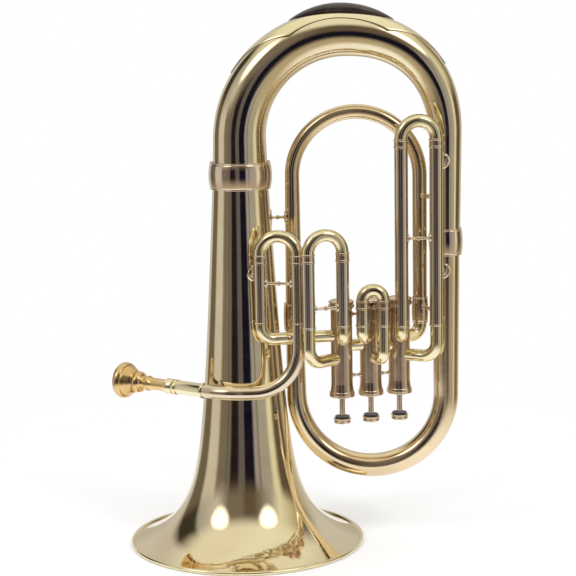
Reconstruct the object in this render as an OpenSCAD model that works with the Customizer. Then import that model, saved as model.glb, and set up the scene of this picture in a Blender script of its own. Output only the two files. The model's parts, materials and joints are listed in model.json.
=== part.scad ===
// Baritone horn, upright brass instrument with three piston valves.
// It stands on the rim of its bell, with the bell mouth on the floor and the
// finger buttons pointing down. The origin is the centre of the bell rim, +Z is
// the bell's axis, and the large bow lies in the XZ plane.

/* [Bell] */
// Outer radius of the rolled bell rim
rim_r = 125; // [122:1:128]
// Radius of the wire rolled into the rim
rim_wire_r = 2.2; // [1.8:0.1:2.6]
// Outer radius of the bell's upper end
bell_top_r = 28.7; // [28:0.1:29.5]
// Height of the joint between the bell and the top bow
bell_top_z = 395; // [390:1:400]
// Thickness of the brass sheet of the large tubing
sheet = 0.6; // [0.5:0.1:0.8]

/* [Large bows] */
// Distance between the bell's axis and the outer leg
outer_leg_x = 214.4; // [212:0.2:216]
// Height where the bend of the top bow starts
top_bend_z = 431; // [428:1:434]
// Height where the outer leg joins the top bow
outer_joint_z = 321; // [318:1:324]
// Height where the bend of the lower bow starts
low_bend_z = 158; // [156:1:160]
// Radius of the lower bow
low_bow_R = 79.5; // [78.5:0.1:80.5]
// How far the inner leg stands behind the outer leg
inner_leg_y = 10; // [9:0.5:11]

/* [Inner branch] */
// Height of the joint above the lower bow
inner_joint_z = 241; // [239:1:243]
// Height where the arch of the inner branch starts
arch_z = 391; // [388:1:394]
// Height of the joint above the third valve
exit_joint_z = 248; // [246:1:250]

/* [Valves] */
// Axis of the first valve
valve_1_at = [103, -27];
// Distance between neighbouring valves
valve_pitch = 31.4; // [31:0.1:32]
// Angle of the row of valves to the plane of the large bow
row_angle = 13.5; // [12:0.5:15]
// Outer radius of a valve casing
casing_r = 11.25; // [11:0.05:11.5]
// Radius of a casing's bore
bore_r = 9.4; // [9.3:0.05:9.6]
// Gap between a piston and its casing, on the radius
piston_gap = 0.04; // [0.02:0.01:0.08]
// Travel of a valve
valve_travel = 15.5; // [14:0.5:16]
// Height of the lower end of the casings
casing_z = 165; // [164:0.5:166]
// Height of the upper end of the casings
casing_top_z = 262; // [260:1:264]

/* [Tubing] */
// Outer radius of the tubes fixed to the valves
tube_r = 6.5; // [6.4:0.1:6.6]
// Wall of the small tubing
wall = 0.6; // [0.5:0.05:0.7]
// Outer radius of a slide's inner leg
leg_r = 5.95; // [5.9:0.05:6]
// Gap between an inner leg and its sleeve, on the radius
slide_gap = 0.05; // [0.03:0.01:0.08]
// Outer radius of the leadpipe
leadpipe_r = 7; // [6.8:0.1:7.2]
// Height of the leadpipe and the mouthpiece
leadpipe_z = 173; // [171:1:175]
// Distance between the bell's axis and the leadpipe
leadpipe_wrap = 56; // [55.5:0.5:57]
// Angle between the mouthpiece and the plane of the large bow
mouthpiece_angle = 34; // [32:1:36]

/* [Hidden] */
$fn = 72;

brass = [0.80, 0.68, 0.42];
pale_brass = [0.86, 0.78, 0.52];
red_brass = [0.80, 0.62, 0.48];
felt_black = [0.05, 0.05, 0.06];

eps = 0.01;
seam = 0.05;         // gap between two parts that are joined
steps = 36;          // rings along a large bend
sides = 32;          // facets round a large bend
inner_left = [54, inner_leg_y];
inner_right = [187.3, 3];
low_bow_x = outer_leg_x - low_bow_R;
top_bow_x = outer_leg_x / 2;

// Valve places, in playing order from the bell outwards
function valve_at(i) = valve_1_at + (i - 1) * valve_pitch * [cos(row_angle), sin(row_angle)];

// Slides: the two legs [x, y], the top of the sleeves, their lower rings and the
// outer radius of the sleeves. The tuning slide is number 0.
slide_left = [[19.4, -44], [68.6, -61.3], [124.5, -44], [165.3, -38]];
slide_right = [[57.6, -50.5], [104, -52], [146, -44], [201.6, -33]];
slide_top_z = [306, 308.5, 257, 422];
slide_ring_z = [243.5, 240.5, 239, 237];
slide_sleeve_r = [6.6, 6.7, 6.6, 7];
collar_h = 9.5;
slide_stop = 0.2;    // gap between a sleeve and the collar above it

// Heights of the ports in the casings
inlet_z = 227;
upper_z = 226;
lower_z = 203.5;
knuckle_z = [216, 214];
exit_z = 221.5;

// Outer radius of the bell at height z: a straight taper with a power flare
flare_power = -2.974;
flare_shift = 80;
function flare(z) = pow(z + flare_shift, flare_power);
function flare_share(z) = (flare(z) - flare(bell_top_z)) / (flare(2) - flare(bell_top_z));
taper = 20.2;
lip_r = rim_r - 2.6;
rim_wire_z = rim_wire_r - 0.3;
function bell_r(z) = bell_top_r + taper * (bell_top_z - z) / (bell_top_z - 2)
    + (lip_r - bell_top_r - taper) * flare_share(z);

// Outer radius of the tapering tubes
function top_bow_r(t) = 27.6 - 11 * t + 0.9 * sin(180 * t);
function outer_leg_r(z) = 13 + 1.6 * (z - low_bend_z) / (outer_joint_z - low_bend_z);
function low_bow_r(t) = 13 - 2.6 * t * t;

// ---------- general shapes ----------

module pipe(r, h, w = wall) {
    difference() {
        cylinder(r = r, h = h);
        translate([0, 0, -1]) cylinder(r = r - w, h = h + 2);
    }
}

// Bend that starts at the origin heading down and turns towards +X
module elbow(r, bend, a = 90, w = wall) {
    translate([bend, 0, 0]) rotate([90, 0, 0]) rotate([0, 0, 180])
        rotate_extrude(angle = a) translate([bend, 0]) difference() {
            circle(r);
            circle(r - w);
        }
}

// Solid with a round section about Z, from a list of [radius, height]
module turned(points) {
    rotate_extrude() polygon(points);
}

// Moves its children to a leg and turns +X towards a point
module aim(from, to) {
    d = to - from;
    translate([from.x, from.y, 0]) rotate([0, 0, atan2(d.y, d.x)]) children();
}

// Tube from a slide's lower ring down and across into a casing
module port_elbow(leg, ring_z, valve, port_z, bend, r = tube_r) {
    d = norm(valve - leg);
    difference() {
        aim(leg, valve) {
            if (ring_z > port_z + bend + eps)
                translate([0, 0, port_z + bend]) pipe(r, ring_z - port_z - bend);
            translate([0, 0, port_z + bend]) elbow(r, bend);
            translate([bend, 0, port_z]) rotate([0, 90, 0]) pipe(r, d - bend - 3);
        }
        translate([valve.x, valve.y, casing_z]) cylinder(r = casing_r, h = casing_top_z - casing_z);
    }
}

// Closed tube of changing radius: each station is [x, y, z, angle, radius], where
// the angle turns the ring's own normal in the XZ plane
function ring(s, r, n) = [for (k = [0 : n - 1])
    [s[0] + r * cos(360 * k / n) * cos(s[3]), s[1] + r * sin(360 * k / n),
     s[2] + r * cos(360 * k / n) * sin(s[3])]];
module swept(stations, w = sheet, n = sides) {
    count = len(stations);
    outer = [for (s = stations) each ring(s, s[4], n)];
    inner = [for (s = stations) each ring(s, s[4] - w, n)];
    off = count * n;
    last = (count - 1) * n;
    polyhedron(concat(outer, inner), concat(
        [for (i = [0 : count - 2], k = [0 : n - 1]) let (a = i * n, b = (k + 1) % n)
            each [[a + k, a + b, a + n + b], [a + k, a + n + b, a + n + k]]],
        [for (i = [0 : count - 2], k = [0 : n - 1]) let (a = off + i * n, b = (k + 1) % n)
            each [[a + k, a + n + b, a + b], [a + k, a + n + k, a + n + b]]],
        [for (k = [0 : n - 1]) let (b = (k + 1) % n)
            each [[k, off + k, off + b], [k, off + b, b]]],
        [for (k = [0 : n - 1]) let (b = (k + 1) % n)
            each [[last + k, off + last + b, off + last + k], [last + k, last + b, off + last + b]]]
    ), convexity = 6);
}

// Closed patch between a lower and an upper grid of n by m points
module patch(low, high, n, m) {
    off = n * m;
    polyhedron(concat(low, high), concat(
        [for (i = [0 : n - 2], j = [0 : m - 2]) let (a = i * m + j)
            each [[a, a + m + 1, a + 1], [a, a + m, a + m + 1]]],
        [for (i = [0 : n - 2], j = [0 : m - 2]) let (a = off + i * m + j)
            each [[a, a + 1, a + m + 1], [a, a + m + 1, a + m]]],
        [for (i = [0 : n - 2]) let (a = i * m)
            each [[a, off + a, off + a + m], [a, off + a + m, a + m]]],
        [for (i = [0 : n - 2]) let (a = i * m + m - 1)
            each [[a, off + a + m, off + a], [a, a + m, off + a + m]]],
        [for (j = [0 : m - 2]) each [[j, off + j + 1, off + j], [j, j + 1, off + j + 1]]],
        [for (j = [0 : m - 2]) let (a = (n - 1) * m + j)
            each [[a, off + a, off + a + 1], [a, off + a + 1, a + 1]]]
    ), convexity = 6);
}

// ---------- bell and large tubing ----------

module bell_outline(w) {
    zs = concat([for (z = [2 : 2 : 20]) z], [for (z = [25 : 5 : 80]) z],
        [for (z = [90 : 15 : 380]) z], [bell_top_z]);
    polygon(concat([for (z = zs) [bell_r(z), z]],
        [for (i = [len(zs) - 1 : -1 : 0]) [bell_r(zs[i]) - w, zs[i]]]));
}

// Section of the rim wire, flattened a little where it stands on the floor
module rim_section() {
    intersection() {
        translate([rim_r - rim_wire_r, rim_wire_z]) circle(rim_wire_r);
        translate([rim_r - 3 * rim_wire_r, 0]) square(6 * rim_wire_r);
    }
}

module bell() {
    color(brass) rotate_extrude() difference() {
        bell_outline(sheet);
        translate([rim_r - rim_wire_r, rim_wire_z]) circle(rim_wire_r);
    }
}

module bell_rim_wire() {
    color(pale_brass) rotate_extrude() rim_section();
}

// Barrel-shaped joint ring round a tube
module barrel(r_low, r_high, h, bulge) {
    cuts = 12;
    turned(concat([[r_low, 0]],
        [for (i = [0 : cuts]) [max(r_low, r_high) + bulge * (0.45 + 0.55 * sin(180 * i / cuts)),
                               h * i / cuts]],
        [[r_high, h]]));
}

bell_ferrule_z = bell_top_z - 15;
ferrule_h = 28;
module bell_ferrule() {
    r = bell_r(bell_ferrule_z) + 0.3;
    color(pale_brass) translate([0, 0, bell_ferrule_z]) barrel(r, r, ferrule_h, 3.4);
}

function top_R(a) = top_bow_x + (a < 90 ? 4 * pow(sin(2 * a), 2) : 0);
function top_station(a) = [top_bow_x + top_R(a) * cos(a), 0, top_bend_z + top_R(a) * sin(a), a,
                           top_bow_r((180 - a) / 180)];

top_bow_end_r = 15;
module top_bow() {
    color(brass) swept(concat(
        [[0, 0, bell_top_z + seam, 180, bell_top_r]],
        [for (i = [0 : steps]) top_station(180 - 180 * i / steps)],
        [[outer_leg_x, 0, outer_joint_z + seam, 0, top_bow_end_r]]));
}

// Point on a skin over the top bow, at an angle along the bow and one round it
function over_bow(a, turn, lift) = let (s = top_station(a), r = s[4] + lift)
    [s[0] + r * cos(turn) * cos(a), -r * sin(turn), s[2] + r * cos(turn) * sin(a)];

// Place of step i out of n, from -1 to 1
function share(i, n) = 2 * i / (n - 1) - 1;

// The guard: its middle, half length and cusps along the bow, and how far it
// reaches round the bow in its middle, at a cusp and at its tips, all in degrees
guard_mid = 92;
guard_half = 57;
guard_cusp = 25;
guard_waist = 46;
guard_reach = 64;
guard_tip = 1.5;
guard_under = 0.2;
guard_over = 1;
// A lobe between two cusps, and a wing beyond each cusp that narrows to a point
function guard_turn(a) = let (d = abs(a - guard_mid))
    d < guard_cusp ? guard_waist + (guard_reach - guard_waist) * pow(d / guard_cusp, 2)
    : guard_tip + (guard_reach - guard_tip) * pow((guard_half - d) / (guard_half - guard_cusp), 1.4);

module bow_guard() {
    n = 47;
    m = 13;
    angles = [for (i = [0 : n - 1]) guard_mid + guard_half * share(i, n)];
    function layer(lift) =
        [for (a = angles, j = [0 : m - 1]) over_bow(a, guard_turn(a) * share(j, m), lift)];
    color(pale_brass) patch(layer(guard_under), layer(guard_over), n, m);
}

// The bumper on the guard: its middle, half length and half width in degrees
bumper_mid = 90;
bumper_half = 24;
bumper_turn = 22;
bumper_h = 7;
bumper_edge = 0.5;
bumper_under = 1.3;
module bow_bumper() {
    n = 25;
    m = 9;
    function lens(i) = 1 - pow(share(i, n), 2);
    function side(i) = bumper_turn * (0.12 + 0.88 * lens(i));
    function rise(i, j) = bumper_edge + bumper_h * lens(i) * sqrt(1 - pow(share(j, m), 2));
    function spot(i, j, lift) =
        over_bow(bumper_mid + bumper_half * share(i, n), side(i) * share(j, m), lift);
    color(felt_black) patch(
        [for (i = [0 : n - 1], j = [0 : m - 1]) spot(i, j, bumper_under)],
        [for (i = [0 : n - 1], j = [0 : m - 1]) spot(i, j, bumper_under + rise(i, j))], n, m);
}

module outer_ferrule() {
    color(pale_brass) translate([outer_leg_x, 0, outer_joint_z - ferrule_h / 2])
        barrel(14.8, 15.4, ferrule_h, 2.4);
}

// Y place of the outer branch, which steps back towards its inner leg
function branch_y(x) = inner_leg_y * (outer_leg_x - x) / (2 * low_bow_R);

module outer_branch() {
    color(brass) swept(concat(
        [[outer_leg_x, 0, outer_joint_z - seam, 0, outer_leg_r(outer_joint_z)]],
        [for (i = [0 : steps]) let (a = -180 * i / steps, x = low_bow_x + low_bow_R * cos(a))
            [x, branch_y(x), low_bend_z + low_bow_R * sin(a), a, low_bow_r(i / steps)]],
        [[inner_left.x, inner_left.y, inner_joint_z - seam, -180, 9.2]]));
}

lower_ferrule_h = 30;
module lower_ferrule() {
    color(pale_brass) translate([inner_left.x, inner_left.y, inner_joint_z - lower_ferrule_h / 2])
        barrel(9.85, 9.05, lower_ferrule_h, 1.4);
}

// The arch stands in the upright plane through both of its legs
module inner_branch() {
    span = inner_right - inner_left;
    half = norm(span) / 2;
    arch_r = 7.6;
    turns = 24;
    color(brass) translate([inner_left.x, inner_left.y]) rotate([0, 0, atan2(span.y, span.x)])
        swept(concat(
            [[0, 0, inner_joint_z + seam, 180, 8.9]],
            [for (i = [0 : turns]) let (a = 180 - 180 * i / turns)
                [half + half * cos(a), 0, arch_z + half * sin(a), a, arch_r]],
            [[2 * half, 0, exit_joint_z + seam, 0, 7.4]]), n = turns);
}

module exit_ferrule() {
    color(pale_brass) translate([inner_right.x, inner_right.y, exit_joint_z - ferrule_h / 2])
        barrel(7.55, 7.55, ferrule_h, 1.2);
}

module exit_elbow() {
    color(pale_brass) port_elbow(inner_right, exit_joint_z, valve_at(3), exit_z, 12, 7.2);
}

// ---------- leadpipe and mouthpiece ----------

lead_start = slide_right[0];
lead_bend = 46;
lead_lap = 0.5;
// Direction of the pipe in front of the bell, so that it clears the bell by the wrap radius
lead_turn = asin(leadpipe_wrap / norm(lead_start)) - atan2(-lead_start.y, lead_start.x);
lead_foot = leadpipe_wrap * [sin(lead_turn), -cos(lead_turn)];
lead_out = [-sin(mouthpiece_angle), -cos(mouthpiece_angle)] * leadpipe_wrap;
receiver_gap = 11.5;
receiver_len = 48.5;

// Moves its children to a place along the mouthpiece's line, with +Z along it
module along_mouth(s) {
    translate([lead_out.x - s * cos(mouthpiece_angle), lead_out.y + s * sin(mouthpiece_angle),
               leadpipe_z])
        rotate([0, 0, -mouthpiece_angle]) rotate([0, -90, 0]) children();
}

// The stretch that wraps round the bell is a hair thicker than its neighbours,
// which end inside it
module leadpipe() {
    run = norm(lead_foot - lead_start);
    rise = slide_ring_z[0] - leadpipe_z - lead_bend;
    hair = 0.02;
    color(pale_brass) union() {
        translate([lead_start.x, lead_start.y, leadpipe_z + lead_bend])
            rotate([0, 0, 180 + lead_turn]) {
                pipe(leadpipe_r, rise);
                elbow(leadpipe_r, lead_bend);
                translate([lead_bend, 0, -lead_bend]) rotate([0, 90, 0])
                    pipe(leadpipe_r, run - lead_bend + lead_lap);
            }
        translate([0, 0, leadpipe_z]) rotate([0, 0, 270 - mouthpiece_angle])
            rotate_extrude(angle = mouthpiece_angle + lead_turn)
                translate([leadpipe_wrap, 0]) difference() {
                    circle(leadpipe_r + hair);
                    circle(leadpipe_r - wall - hair);
                }
        along_mouth(-lead_lap) pipe(leadpipe_r, receiver_gap + lead_lap);
    }
}

// The shank sits in the receiver to this depth, between these radii
shank_depth = 20;
shank_tip_r = 5.6;
shank_r = 6.1;
shank_gap = 0.06;
receiver_r = 7.2;
// Receiver with a collar at its foot and a grooved band at its mouth
module mouthpiece_receiver() {
    bore_r = 5;
    stop = receiver_len - shank_depth - 2;
    band_r = 8;
    groove_r = 7.4;
    color(pale_brass) along_mouth(receiver_gap + seam) turned([
        [leadpipe_r - wall, 0], [8.4, 0], [8.4, 2.4], [receiver_r, 3], [receiver_r, 31.6],
        [band_r, 32.2], [band_r, 35.4], [groove_r, 35.8], [groove_r, 37.2], [band_r, 37.6],
        [band_r, 39.8], [groove_r, 40.2], [groove_r, 41.6], [band_r, 42], [band_r, 45],
        [8.3, 45.5], [8.3, receiver_len], [shank_r + shank_gap, receiver_len],
        [shank_tip_r + shank_gap, receiver_len - shank_depth], [bore_r, stop], [bore_r, 6]]);
}

mouthpiece_len = 82;
cup_r = 12.7;
cup_depth = 16;
throat_r = 3.4;
backbore_r = 4.9;
// Mouthpiece from the end of its shank up to the rim: shank, bead, neck, bulb and cup
module mouthpiece() {
    rim = mouthpiece_len;
    cuts = 8;
    cup_z = rim - 3;
    color(red_brass) along_mouth(receiver_gap + receiver_len - shank_depth + seam) difference() {
        turned([
            [0, 0], [shank_tip_r, 0], [shank_r, shank_depth], [6.6, 40], [6.7, 43], [7.6, 43.4],
            [8.1, 44.2], [8.1, 46], [7.6, 46.8], [6.4, 47.4], [5.8, 49], [5.8, 50.4], [7, 52],
            [9.4, 53.8], [10.8, 55.8], [11.3, 58], [10.9, 60], [9.9, 61.4], [9.9, 62.2],
            [12.4, 64.2], [13.6, 66.4], [14.8, 68.6], [15.8, 70.8], [16.3, 72.4], [17.3, 72.8],
            [18.2, 73.8], [18.9, 75.4], [19.2, 77.5], [18.9, 79.6], [17.6, 81.3], [15.6, rim],
            [0, rim]]);
        translate([0, 0, -1]) cylinder(r1 = backbore_r, r2 = throat_r, h = 55);
        translate([0, 0, 48]) cylinder(r = throat_r, h = 20);
        turned(concat([[0, 60], [throat_r, 60]],
            [for (i = [1 : cuts]) [throat_r + (cup_r - throat_r) * sin(90 * i / cuts),
                                   cup_z - cup_depth * cos(90 * i / cuts)]],
            [[cup_r + 2.1, rim + 0.5], [0, rim + 0.5]]));
    }
}

// ---------- valves ----------

// Ports of a casing: [direction, height, radius]
function towards(i, p) = let (d = p - valve_at(i)) atan2(d.y, d.x);
function ports(i) = concat(
    i == 1 ? [[towards(1, slide_left[0]), inlet_z]] : [[180 + row_angle, knuckle_z[i - 2]]],
    i == 3 ? [[towards(3, inner_right), exit_z]] : [[row_angle, knuckle_z[i - 1]]],
    i == 1 ? [[towards(1, slide_right[1]), upper_z], [towards(1, slide_left[1]), lower_z]]
           : [[towards(i, slide_left[i]), upper_z], [towards(i, slide_right[i]), lower_z]]);

module at_valve(i) {
    p = valve_at(i);
    translate([p.x, p.y, 0]) children();
}

module valve_casing(i) {
    h = casing_top_z - casing_z;
    color(brass) at_valve(i) difference() {
        union() {
            translate([0, 0, casing_z]) cylinder(r = casing_r, h = h);
            translate([0, 0, casing_z + stem_cap_h]) turned([[0, 0], [casing_r + 0.9, 0],
                [casing_r + 0.6, 1.8], [casing_r + 0.3, 4], [casing_r, 7.5], [0, 7.5]]);
            translate([0, 0, casing_top_z - 7.2]) turned([[0, 0], [casing_r, 0], [casing_r + 0.9, 1],
                [casing_r + 0.9, 2.2], [0, 2.2]]);
        }
        translate([0, 0, casing_z - 1]) cylinder(r = bore_r, h = h + 2);
        for (p = ports(i)) translate([0, 0, p[1]]) rotate([0, 0, p[0]]) rotate([0, 90, 0])
            cylinder(r = tube_r - wall, h = 20);
    }
}

stem_r = 2.9;
stem_gap = 0.08;
stem_cap_nose = 5.7;
stem_cap_h = 3.8;
// Screwed cap at the finger end, with a hole for the stem
module stem_cap(i) {
    fit = casing_r + seam;
    top = stem_cap_h - 0.1;
    color(red_brass) at_valve(i) translate([0, 0, casing_z]) turned([
        [stem_r + stem_gap, -stem_cap_nose], [4.8, -stem_cap_nose], [6, -4.6], [9.8, -3.8],
        [12.4, -3], [13.4, -2.2], [13.4, -0.6], [12.8, -0.2], [12.8, 0.3], [13.2, 0.7],
        [13.2, 1.7], [12.5, 2.3], [casing_r + 0.9, top], [fit, top], [fit, -seam],
        [stem_r + stem_gap, -seam]]);
}

// Screwed cap at the spring end
module spring_cap(i) {
    fit = casing_r + seam;
    top = casing_top_z;
    color(red_brass) at_valve(i) turned([
        [0, top + seam], [fit, top + seam], [fit, top - 4.9], [13, top - 4.9], [13.6, top - 4],
        [13.6, top - 2.6], [12.6, top - 1.8], [12.6, top - 0.6], [13.3, top + 0.2], [13.3, top + 1.4],
        [11, top + 2.6], [6, top + 3.4], [3.4, top + 3.6], [3, top + 5], [2, top + 5.6],
        [0, top + 5.8]]);
}

piston_z = 172;
piston_top_z = 236;
piston_r = bore_r - piston_gap;
passage_r = 5;
passage_pitch = 14.5;
passage_twist = 40;
// The cross passages of a piston as solid rods, the upper one at the ports
module passages(r) {
    first = (inlet_z + knuckle_z[0]) / 2;
    for (k = [0 : 2]) translate([0, 0, first - k * passage_pitch])
        rotate([0, 0, row_angle + k * passage_twist]) rotate([0, 90, 0])
            cylinder(r = r, h = 3 * bore_r, center = true);
}

// Piston: a thin shell with three cross passages and closed ends
module piston(i) {
    skin = 0.8;
    end = 2;
    h = piston_top_z - piston_z;
    color(red_brass) at_valve(i) difference() {
        union() {
            translate([0, 0, piston_z]) difference() {
                cylinder(r = piston_r, h = h);
                translate([0, 0, end]) cylinder(r = piston_r - skin, h = h - 2 * end);
            }
            intersection() {
                translate([0, 0, piston_z]) cylinder(r = piston_r, h = h);
                passages(passage_r + skin);
            }
        }
        passages(passage_r);
    }
}

// A pressed button stops just short of the cap
button_z = casing_z - 16 - valve_travel;
button_h = 5.4;
button_floor = 4;
module valve_stem(i) {
    low = button_z + button_floor + seam;
    color(brass) at_valve(i) translate([0, 0, low])
        cylinder(r = stem_r, h = piston_z - low - seam);
}

module finger_button(i) {
    color(red_brass) at_valve(i) translate([0, 0, button_z]) turned([
        [0, 0.9], [6.4, 0.7], [7.4, 0], [8.5, 0.3], [8.9, 1.2], [8.6, 2], [8, 2.5], [8.1, 3.2],
        [9.1, 3.8], [9.2, 4.8], [8.6, button_h], [stem_r + seam, button_h],
        [stem_r + seam, button_floor], [0, button_floor]]);
}

module button_felt(i) {
    felt_r = 7.7;
    color(felt_black) at_valve(i) translate([0, 0, button_z + button_h + seam])
        pipe(felt_r, 2, felt_r - stem_r - 0.1);
}

spring_wire_r = 0.5;
spring_coil_r = 7;
spring_turns = 6;
// Coil spring between the piston and the spring cap
module valve_spring(i) {
    around = 6;
    per_turn = 14;
    n = spring_turns * per_turn;
    clear = 0.7;
    low = piston_top_z + clear;
    rise = casing_top_z - clear - 0.1 - low;
    points = [for (k = [0 : n], j = [0 : around - 1]) let (a = 360 * k / per_turn, b = 360 * j / around,
        r = spring_coil_r + spring_wire_r * cos(b))
        [r * cos(a), r * sin(a), low + rise * k / n + spring_wire_r * sin(b)]];
    color("silver") at_valve(i) polyhedron(points, concat(
        [for (k = [0 : n - 1], j = [0 : around - 1]) let (p = k * around, q = (j + 1) % around)
            each [[p + j, p + around + q, p + q], [p + j, p + around + j, p + around + q]]],
        [[for (j = [0 : around - 1]) j]],
        [[for (j = [around - 1 : -1 : 0]) n * around + j]]), convexity = 10);
}

// Felt rings on the stem caps, on which the pistons come to rest
module stop_felts() {
    felt_r = 8.8;
    for (i = [1 : 3]) color(felt_black) at_valve(i) translate([0, 0, casing_z])
        pipe(felt_r, piston_z - casing_z - 0.2, felt_r - stem_r - 1.3);
}

module knuckle_tubes() {
    for (i = [1 : 2]) color(pale_brass) difference() {
        at_valve(i) translate([0, 0, knuckle_z[i - 1]]) rotate([0, 0, row_angle]) rotate([0, 90, 0])
            pipe(tube_r, valve_pitch);
        for (k = [i, i + 1]) at_valve(k) translate([0, 0, casing_z])
            cylinder(r = casing_r, h = casing_top_z - casing_z);
    }
}

module inlet_elbow() {
    color(pale_brass) port_elbow(slide_left[0], slide_ring_z[0], valve_at(1), inlet_z, 14);
}

// ---------- slides ----------

module both_legs(k) {
    for (p = [slide_left[k], slide_right[k]]) translate([p.x, p.y, 0]) children();
}

// Fixed sleeves, with a bead at the lower end
module slide_sleeves(k) {
    r = slide_sleeve_r[k];
    h = slide_top_z[k] - slide_ring_z[k] - slide_stop;
    color(brass) both_legs(k) translate([0, 0, slide_ring_z[k]]) difference() {
        union() {
            cylinder(r = r, h = h);
            turned([[0, 0], [r + 0.1, 0], [r + 0.6, 0.6], [r + 0.6, 1.4], [r, 2], [0, 2]]);
        }
        translate([0, 0, -1]) cylinder(r = leg_r + slide_gap, h = h + 2);
    }
}

leg_wall = 0.5;

// Inner legs, each with the collar that joins it to the crook
module slide_legs(k) {
    r = slide_sleeve_r[k];
    bottom = slide_ring_z[k] + 1;
    color(red_brass) both_legs(k) difference() {
        union() {
            translate([0, 0, bottom]) cylinder(r = leg_r, h = slide_top_z[k] - bottom + 1);
            translate([0, 0, slide_top_z[k]]) turned([[0, 0], [r + 0.1, 0], [r + 0.7, 0.6],
                [r + 0.7, 1.8], [r + 0.2, 2.4], [r + 0.2, collar_h - 2.2], [r + 0.7, collar_h - 1.6],
                [r + 0.7, collar_h - 0.6], [r + 0.1, collar_h], [0, collar_h]]);
        }
        translate([0, 0, bottom - 1])
            cylinder(r = leg_r - leg_wall, h = slide_top_z[k] - bottom + 2 * collar_h);
    }
}

module slide_crook(k) {
    a = slide_left[k];
    b = slide_right[k];
    span = b - a;
    r = slide_sleeve_r[k] - 0.2;
    color(pale_brass) translate([(a.x + b.x) / 2, (a.y + b.y) / 2, slide_top_z[k] + collar_h + seam])
        rotate([0, 0, atan2(span.y, span.x)]) rotate([90, 0, 0])
            rotate_extrude(angle = 180) translate([norm(span) / 2, 0]) difference() {
                circle(r);
                circle(r - wall);
            }
}

module slide_elbows(i) {
    v = valve_at(i);
    ring_z = slide_ring_z[i];
    left = slide_left[i];
    right = slide_right[i];
    color(pale_brass) {
        if (i == 1) {
            port_elbow(right, ring_z, v, upper_z, 9);
            port_elbow(left, ring_z, v, lower_z, 17);
        } else {
            port_elbow(left, ring_z, v, upper_z, 9);
            port_elbow(right, ring_z, v, lower_z, i == 3 ? 16 : 10);
        }
    }
}

// ---------- braces ----------

brace_rod = 1.4;
flange = 0.9;
// Round flange on a tube of radius r about Z, on the side of +X
module brace_flange(r, half) {
    intersection() {
        translate([0, 0, -half - 1]) cylinder(r = r + flange, h = 2 * half + 2);
        rotate([0, 90, 0]) cylinder(r = half, h = r + 2);
    }
}

// Turned rod between two upright tubes, with a flange on each. The half heights of
// the flanges are half_a and half_b.
module brace(a, ra, b, rb, z, half_a = 4.5, half_b = 4.5, rod = brace_rod) {
    d = norm(b - a);
    gap = d - ra - rb;
    foot = min(2, gap / 4);
    aim(a, b) translate([0, 0, z]) difference() {
        union() {
            rotate([0, 90, 0]) {
                cylinder(r = rod, h = d);
                translate([0, 0, ra + gap / 2 - 1.3]) turned([[0, 0], [rod, 0], [rod + 1, 0.7],
                    [rod + 1, 1.9], [rod, 2.6], [0, 2.6]]);
                translate([0, 0, ra + 0.6]) cylinder(r1 = rod + 1.2, r2 = rod, h = foot);
                translate([0, 0, d - rb - 0.6 - foot]) cylinder(r1 = rod, r2 = rod + 1.2, h = foot);
            }
            brace_flange(ra, half_a);
            translate([d, 0, 0]) rotate([0, 0, 180]) brace_flange(rb, half_b);
        }
        translate([0, 0, -30]) cylinder(r = ra, h = 60);
        translate([d, 0, -30]) cylinder(r = rb, h = 60);
    }
}

module valve_braces() {
    for (i = [1 : 2], z = [184, 249]) color(red_brass)
        brace(valve_at(i), casing_r, valve_at(i + 1), casing_r, z, 3, 3);
}

// The second slide is too short for a brace
module slide_braces() {
    brace_z = [286, 261, 0, 329];
    for (k = [0, 1, 3]) color(red_brass)
        brace(slide_left[k], slide_sleeve_r[k], slide_right[k], slide_sleeve_r[k], brace_z[k]);
}

// Post between the bell and the place where the leadpipe leaves it, with a round
// flange on the bell and a saddle on the pipe
module leadpipe_brace() {
    half = 9;
    saddle_r = 4.5;
    pipe_cut = leadpipe_r + 0.3;
    bell_cut = bell_r(leadpipe_z - half);
    translate([0, 0, leadpipe_z]) rotate([0, 0, atan2(lead_out.y, lead_out.x)]) difference() {
        union() {
            brace_flange(bell_cut, half);
            rotate([0, 90, 0]) cylinder(r = 2.4, h = leadpipe_wrap);
            intersection() {
                rotate([0, 90, 0]) cylinder(r = saddle_r, h = leadpipe_wrap);
                translate([leadpipe_wrap, 10, 0]) rotate([90, 0, 0]) cylinder(r = pipe_cut + flange, h = 20);
            }
        }
        translate([0, 0, -30]) cylinder(r = bell_cut, h = 60);
        translate([leadpipe_wrap, 20, 0]) rotate([90, 0, 0]) cylinder(r = pipe_cut, h = 40);
    }
}

// Braces between the large tubing, the slides and the leadpipe. A tapering tube
// counts as wide as it is at the widest end of the flange.
module body_braces() {
    large = 9;
    bell_axis = [0, 0];
    outer_leg = [outer_leg_x, 0];
    slide = slide_right[3];
    slide_r = slide_sleeve_r[3];
    color(red_brass) {
        brace(bell_axis, bell_r(339), inner_left, 8.2, 348, large, 6);
        brace(bell_axis, bell_r(286), slide_left[0], slide_sleeve_r[0], 295, large, 5);
        leadpipe_brace();
        brace(outer_leg, 16.45, slide, slide_r, 407, large, 5);
        brace(outer_leg, 14.7, slide, slide_r, 292, large, 5);
        brace(inner_right, 8.9, slide, slide_r, 252, 3, 3);
        brace(inner_right, 7.65, slide, slide_r, 370, 4, 4);
    }
}

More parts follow.
